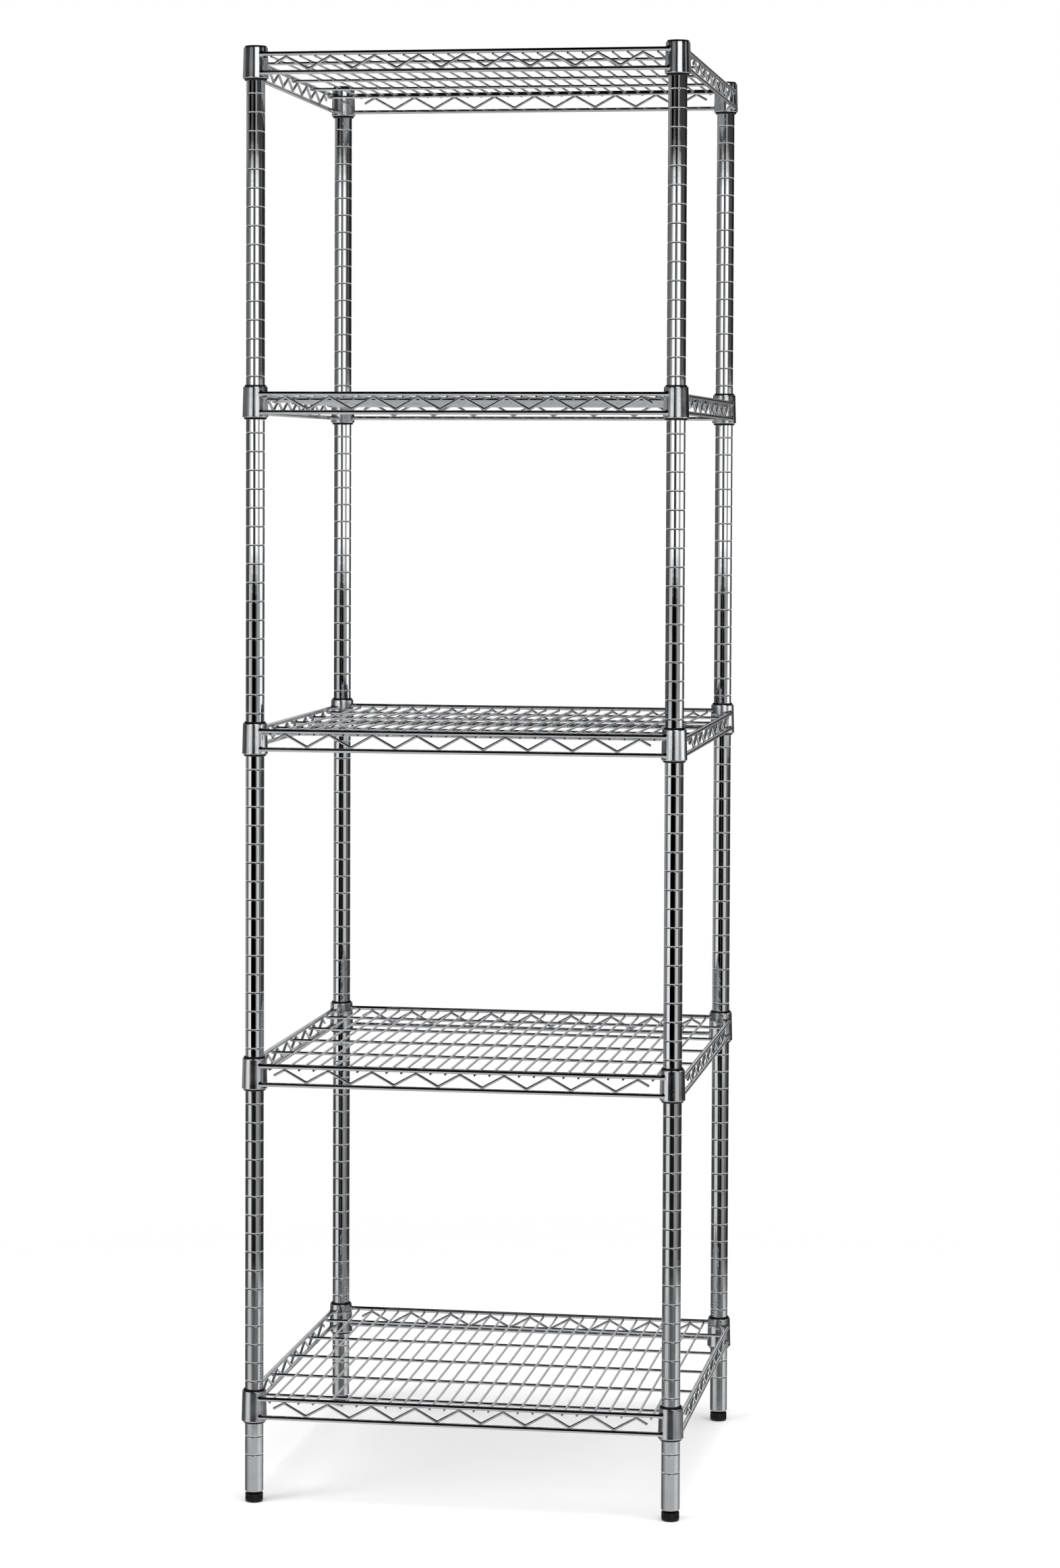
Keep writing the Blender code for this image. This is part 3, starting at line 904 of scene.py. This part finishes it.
BANDS = (  # the sine of the rise at which each ring of cards starts, going up
    (-0.300, FOOT_CARDS),
    (-0.234, ANKLE_CARDS),
    (-0.202, SHIN_CARDS),
    (-0.152, LOW_CARDS),
    (-0.066, MIDDLE_CARDS),
    (-0.024, EYE_CARDS),
    (0.018, UPPER_CARDS),
    (0.0755, TOP_CARDS),
    (0.115, HIGH_CARDS),
    (0.330, CEILING),
)


def bearing_ramp(nodes, links, bearing, cards):
    """A colour ramp round the horizon, with a short soft edge between the cards."""
    ramp = nodes.new("ShaderNodeValToRGB")
    stops = ramp.color_ramp.elements
    spots = []
    for index, (start, value) in enumerate(cards):
        before = cards[index - 1][1]
        spots += [(start - CARD_EDGE / 2, before), (start + CARD_EDGE / 2, value)]
    while len(stops) < len(spots):
        stops.new(0.5)
    for stop, (degrees, value) in zip(stops, sorted(spots)):
        stop.position = degrees / 360 + 0.5
        stop.color = (value, value, value, 1.0)
    links.new(bearing, ramp.inputs["Fac"])
    return ramp.outputs["Color"]


def studio_world():
    """A white studio to the eye; what the chrome mirrors is rings of cards and flags."""
    world = bpy.data.worlds.new("studio")
    world.use_nodes = True
    bpy.context.scene.world = world
    nodes = world.node_tree.nodes
    links = world.node_tree.links
    background = nodes["Background"]

    def math_node(operation, *values):
        node = nodes.new("ShaderNodeMath")
        node.operation = operation
        for slot, value in enumerate(values):
            if hasattr(value, "is_output"):
                links.new(value, node.inputs[slot])
            else:
                node.inputs[slot].default_value = value
        return node.outputs["Value"]

    def soft_step(value, low, high):
        node = nodes.new("ShaderNodeMapRange")
        node.interpolation_type = "SMOOTHSTEP"
        links.new(value, node.inputs["Value"])
        node.inputs["From Min"].default_value = low
        node.inputs["From Max"].default_value = high
        return node.outputs["Result"]

    def mixed(factor, first, second):
        node = nodes.new("ShaderNodeMix")
        node.data_type = "RGBA"
        links.new(factor, node.inputs["Factor"])
        for socket, value in (("A", first), ("B", second)):
            if hasattr(value, "is_output"):
                links.new(value, node.inputs[socket])
            else:
                node.inputs[socket].default_value = (value, value, value, 1.0)
        return node.outputs["Result"]

    way = nodes.new("ShaderNodeSeparateXYZ")
    links.new(nodes.new("ShaderNodeTexCoord").outputs["Generated"], way.inputs["Vector"])
    camera_side = math.atan2(CAMERA_PLACE[0], -CAMERA_PLACE[1])
    flipped = math_node("MULTIPLY", way.outputs["Y"], -1.0)
    angle = math_node("SUBTRACT", math_node("ARCTAN2", way.outputs["X"], flipped), camera_side)
    turns = math_node("ADD", math_node("DIVIDE", angle, 2 * math.pi), 0.5)
    bearing = math_node("FRACT", turns)
    rise = way.outputs["Z"]
    ring = bearing_ramp(nodes, links, bearing, FLOOR_CARDS)
    for start, cards in BANDS:
        share = soft_step(rise, start - BAND_BLUR, start + BAND_BLUR)
        ring = mixed(share, ring, bearing_ramp(nodes, links, bearing, cards))
    seen = nodes.new("ShaderNodeLightPath").outputs["Is Camera Ray"]
    links.new(mixed(seen, ring, 1.0), background.inputs["Color"])
    background.inputs["Strength"].default_value = 1.0


def floor():
    """A pale round floor that fades into the studio's white at its edge.

    The plating doesn't mirror it, but mirrors the lowest rings of cards in its place.
    """
    shape = Shape()
    for step in range(FLOOR_SIDES):
        angle = 2 * math.pi * step / FLOOR_SIDES
        across, deep = FLOOR_RADIUS * math.cos(angle), FLOOR_RADIUS * math.sin(angle)
        shape.points.append(Vector((across, deep, 0.0)))
    shape.faces = [tuple(range(FLOOR_SIDES))]
    finish = Finish("floor_paint")
    mottle = finish.blend(finish.noise(3.0), (FLOOR_DARK,) * 3, (FLOOR_PALE,) * 3)
    finish.set("Base Color", mottle)
    finish.set("Roughness", 0.6)
    finish.set("Specular IOR Level", 0.1)
    distance = finish.nodes.new("ShaderNodeVectorMath")
    distance.operation = "LENGTH"
    finish.links.new(finish.space, distance.inputs[0])
    edge = FLOOR_RADIUS * 0.98
    finish.set("Alpha", finish.spread(distance.outputs["Value"], 1.0, 0.0, FLOOR_FADE, edge))
    made = bpy.data.objects.new("studio_floor", shape.mesh("studio_floor", finish.material))
    bpy.context.scene.collection.objects.link(made)
    made.visible_glossy = False


def softbox(name, location, size, power):
    """A large soft lamp over the set, kept out of the mirror-like plating."""
    data = bpy.data.lights.new(name, "AREA")
    data.shape = "SQUARE"
    data.size = size
    data.energy = power
    lamp = bpy.data.objects.new(name, data)
    bpy.context.scene.collection.objects.link(lamp)
    lamp.location = location
    lamp.rotation_euler = (Vector(location) - Vector(AIM)).to_track_quat("Z", "Y").to_euler()
    lamp.visible_glossy = False


def camera():
    """The photograph's point of view."""
    data = bpy.data.cameras.new("camera")
    data.lens = CAMERA_LENS
    data.sensor_width = 36.0
    data.shift_y = CAMERA_RISE
    data.clip_end = 60.0
    eye = bpy.data.objects.new("camera", data)
    bpy.context.scene.collection.objects.link(eye)
    eye.location = CAMERA_PLACE
    eye.rotation_euler = [math.radians(turn) for turn in CAMERA_TURN]
    bpy.context.scene.camera = eye


build_shelves()
build_posts()
build_sleeves()
studio_world()
floor()
softbox("key_softbox", location=(0.4, -0.6, 4.2), size=4.2, power=340.0)
softbox("fill_softbox", location=(-2.6, -2.4, 2.2), size=1.6, power=60.0)
camera()
bpy.context.scene.view_settings.view_transform = "Standard"
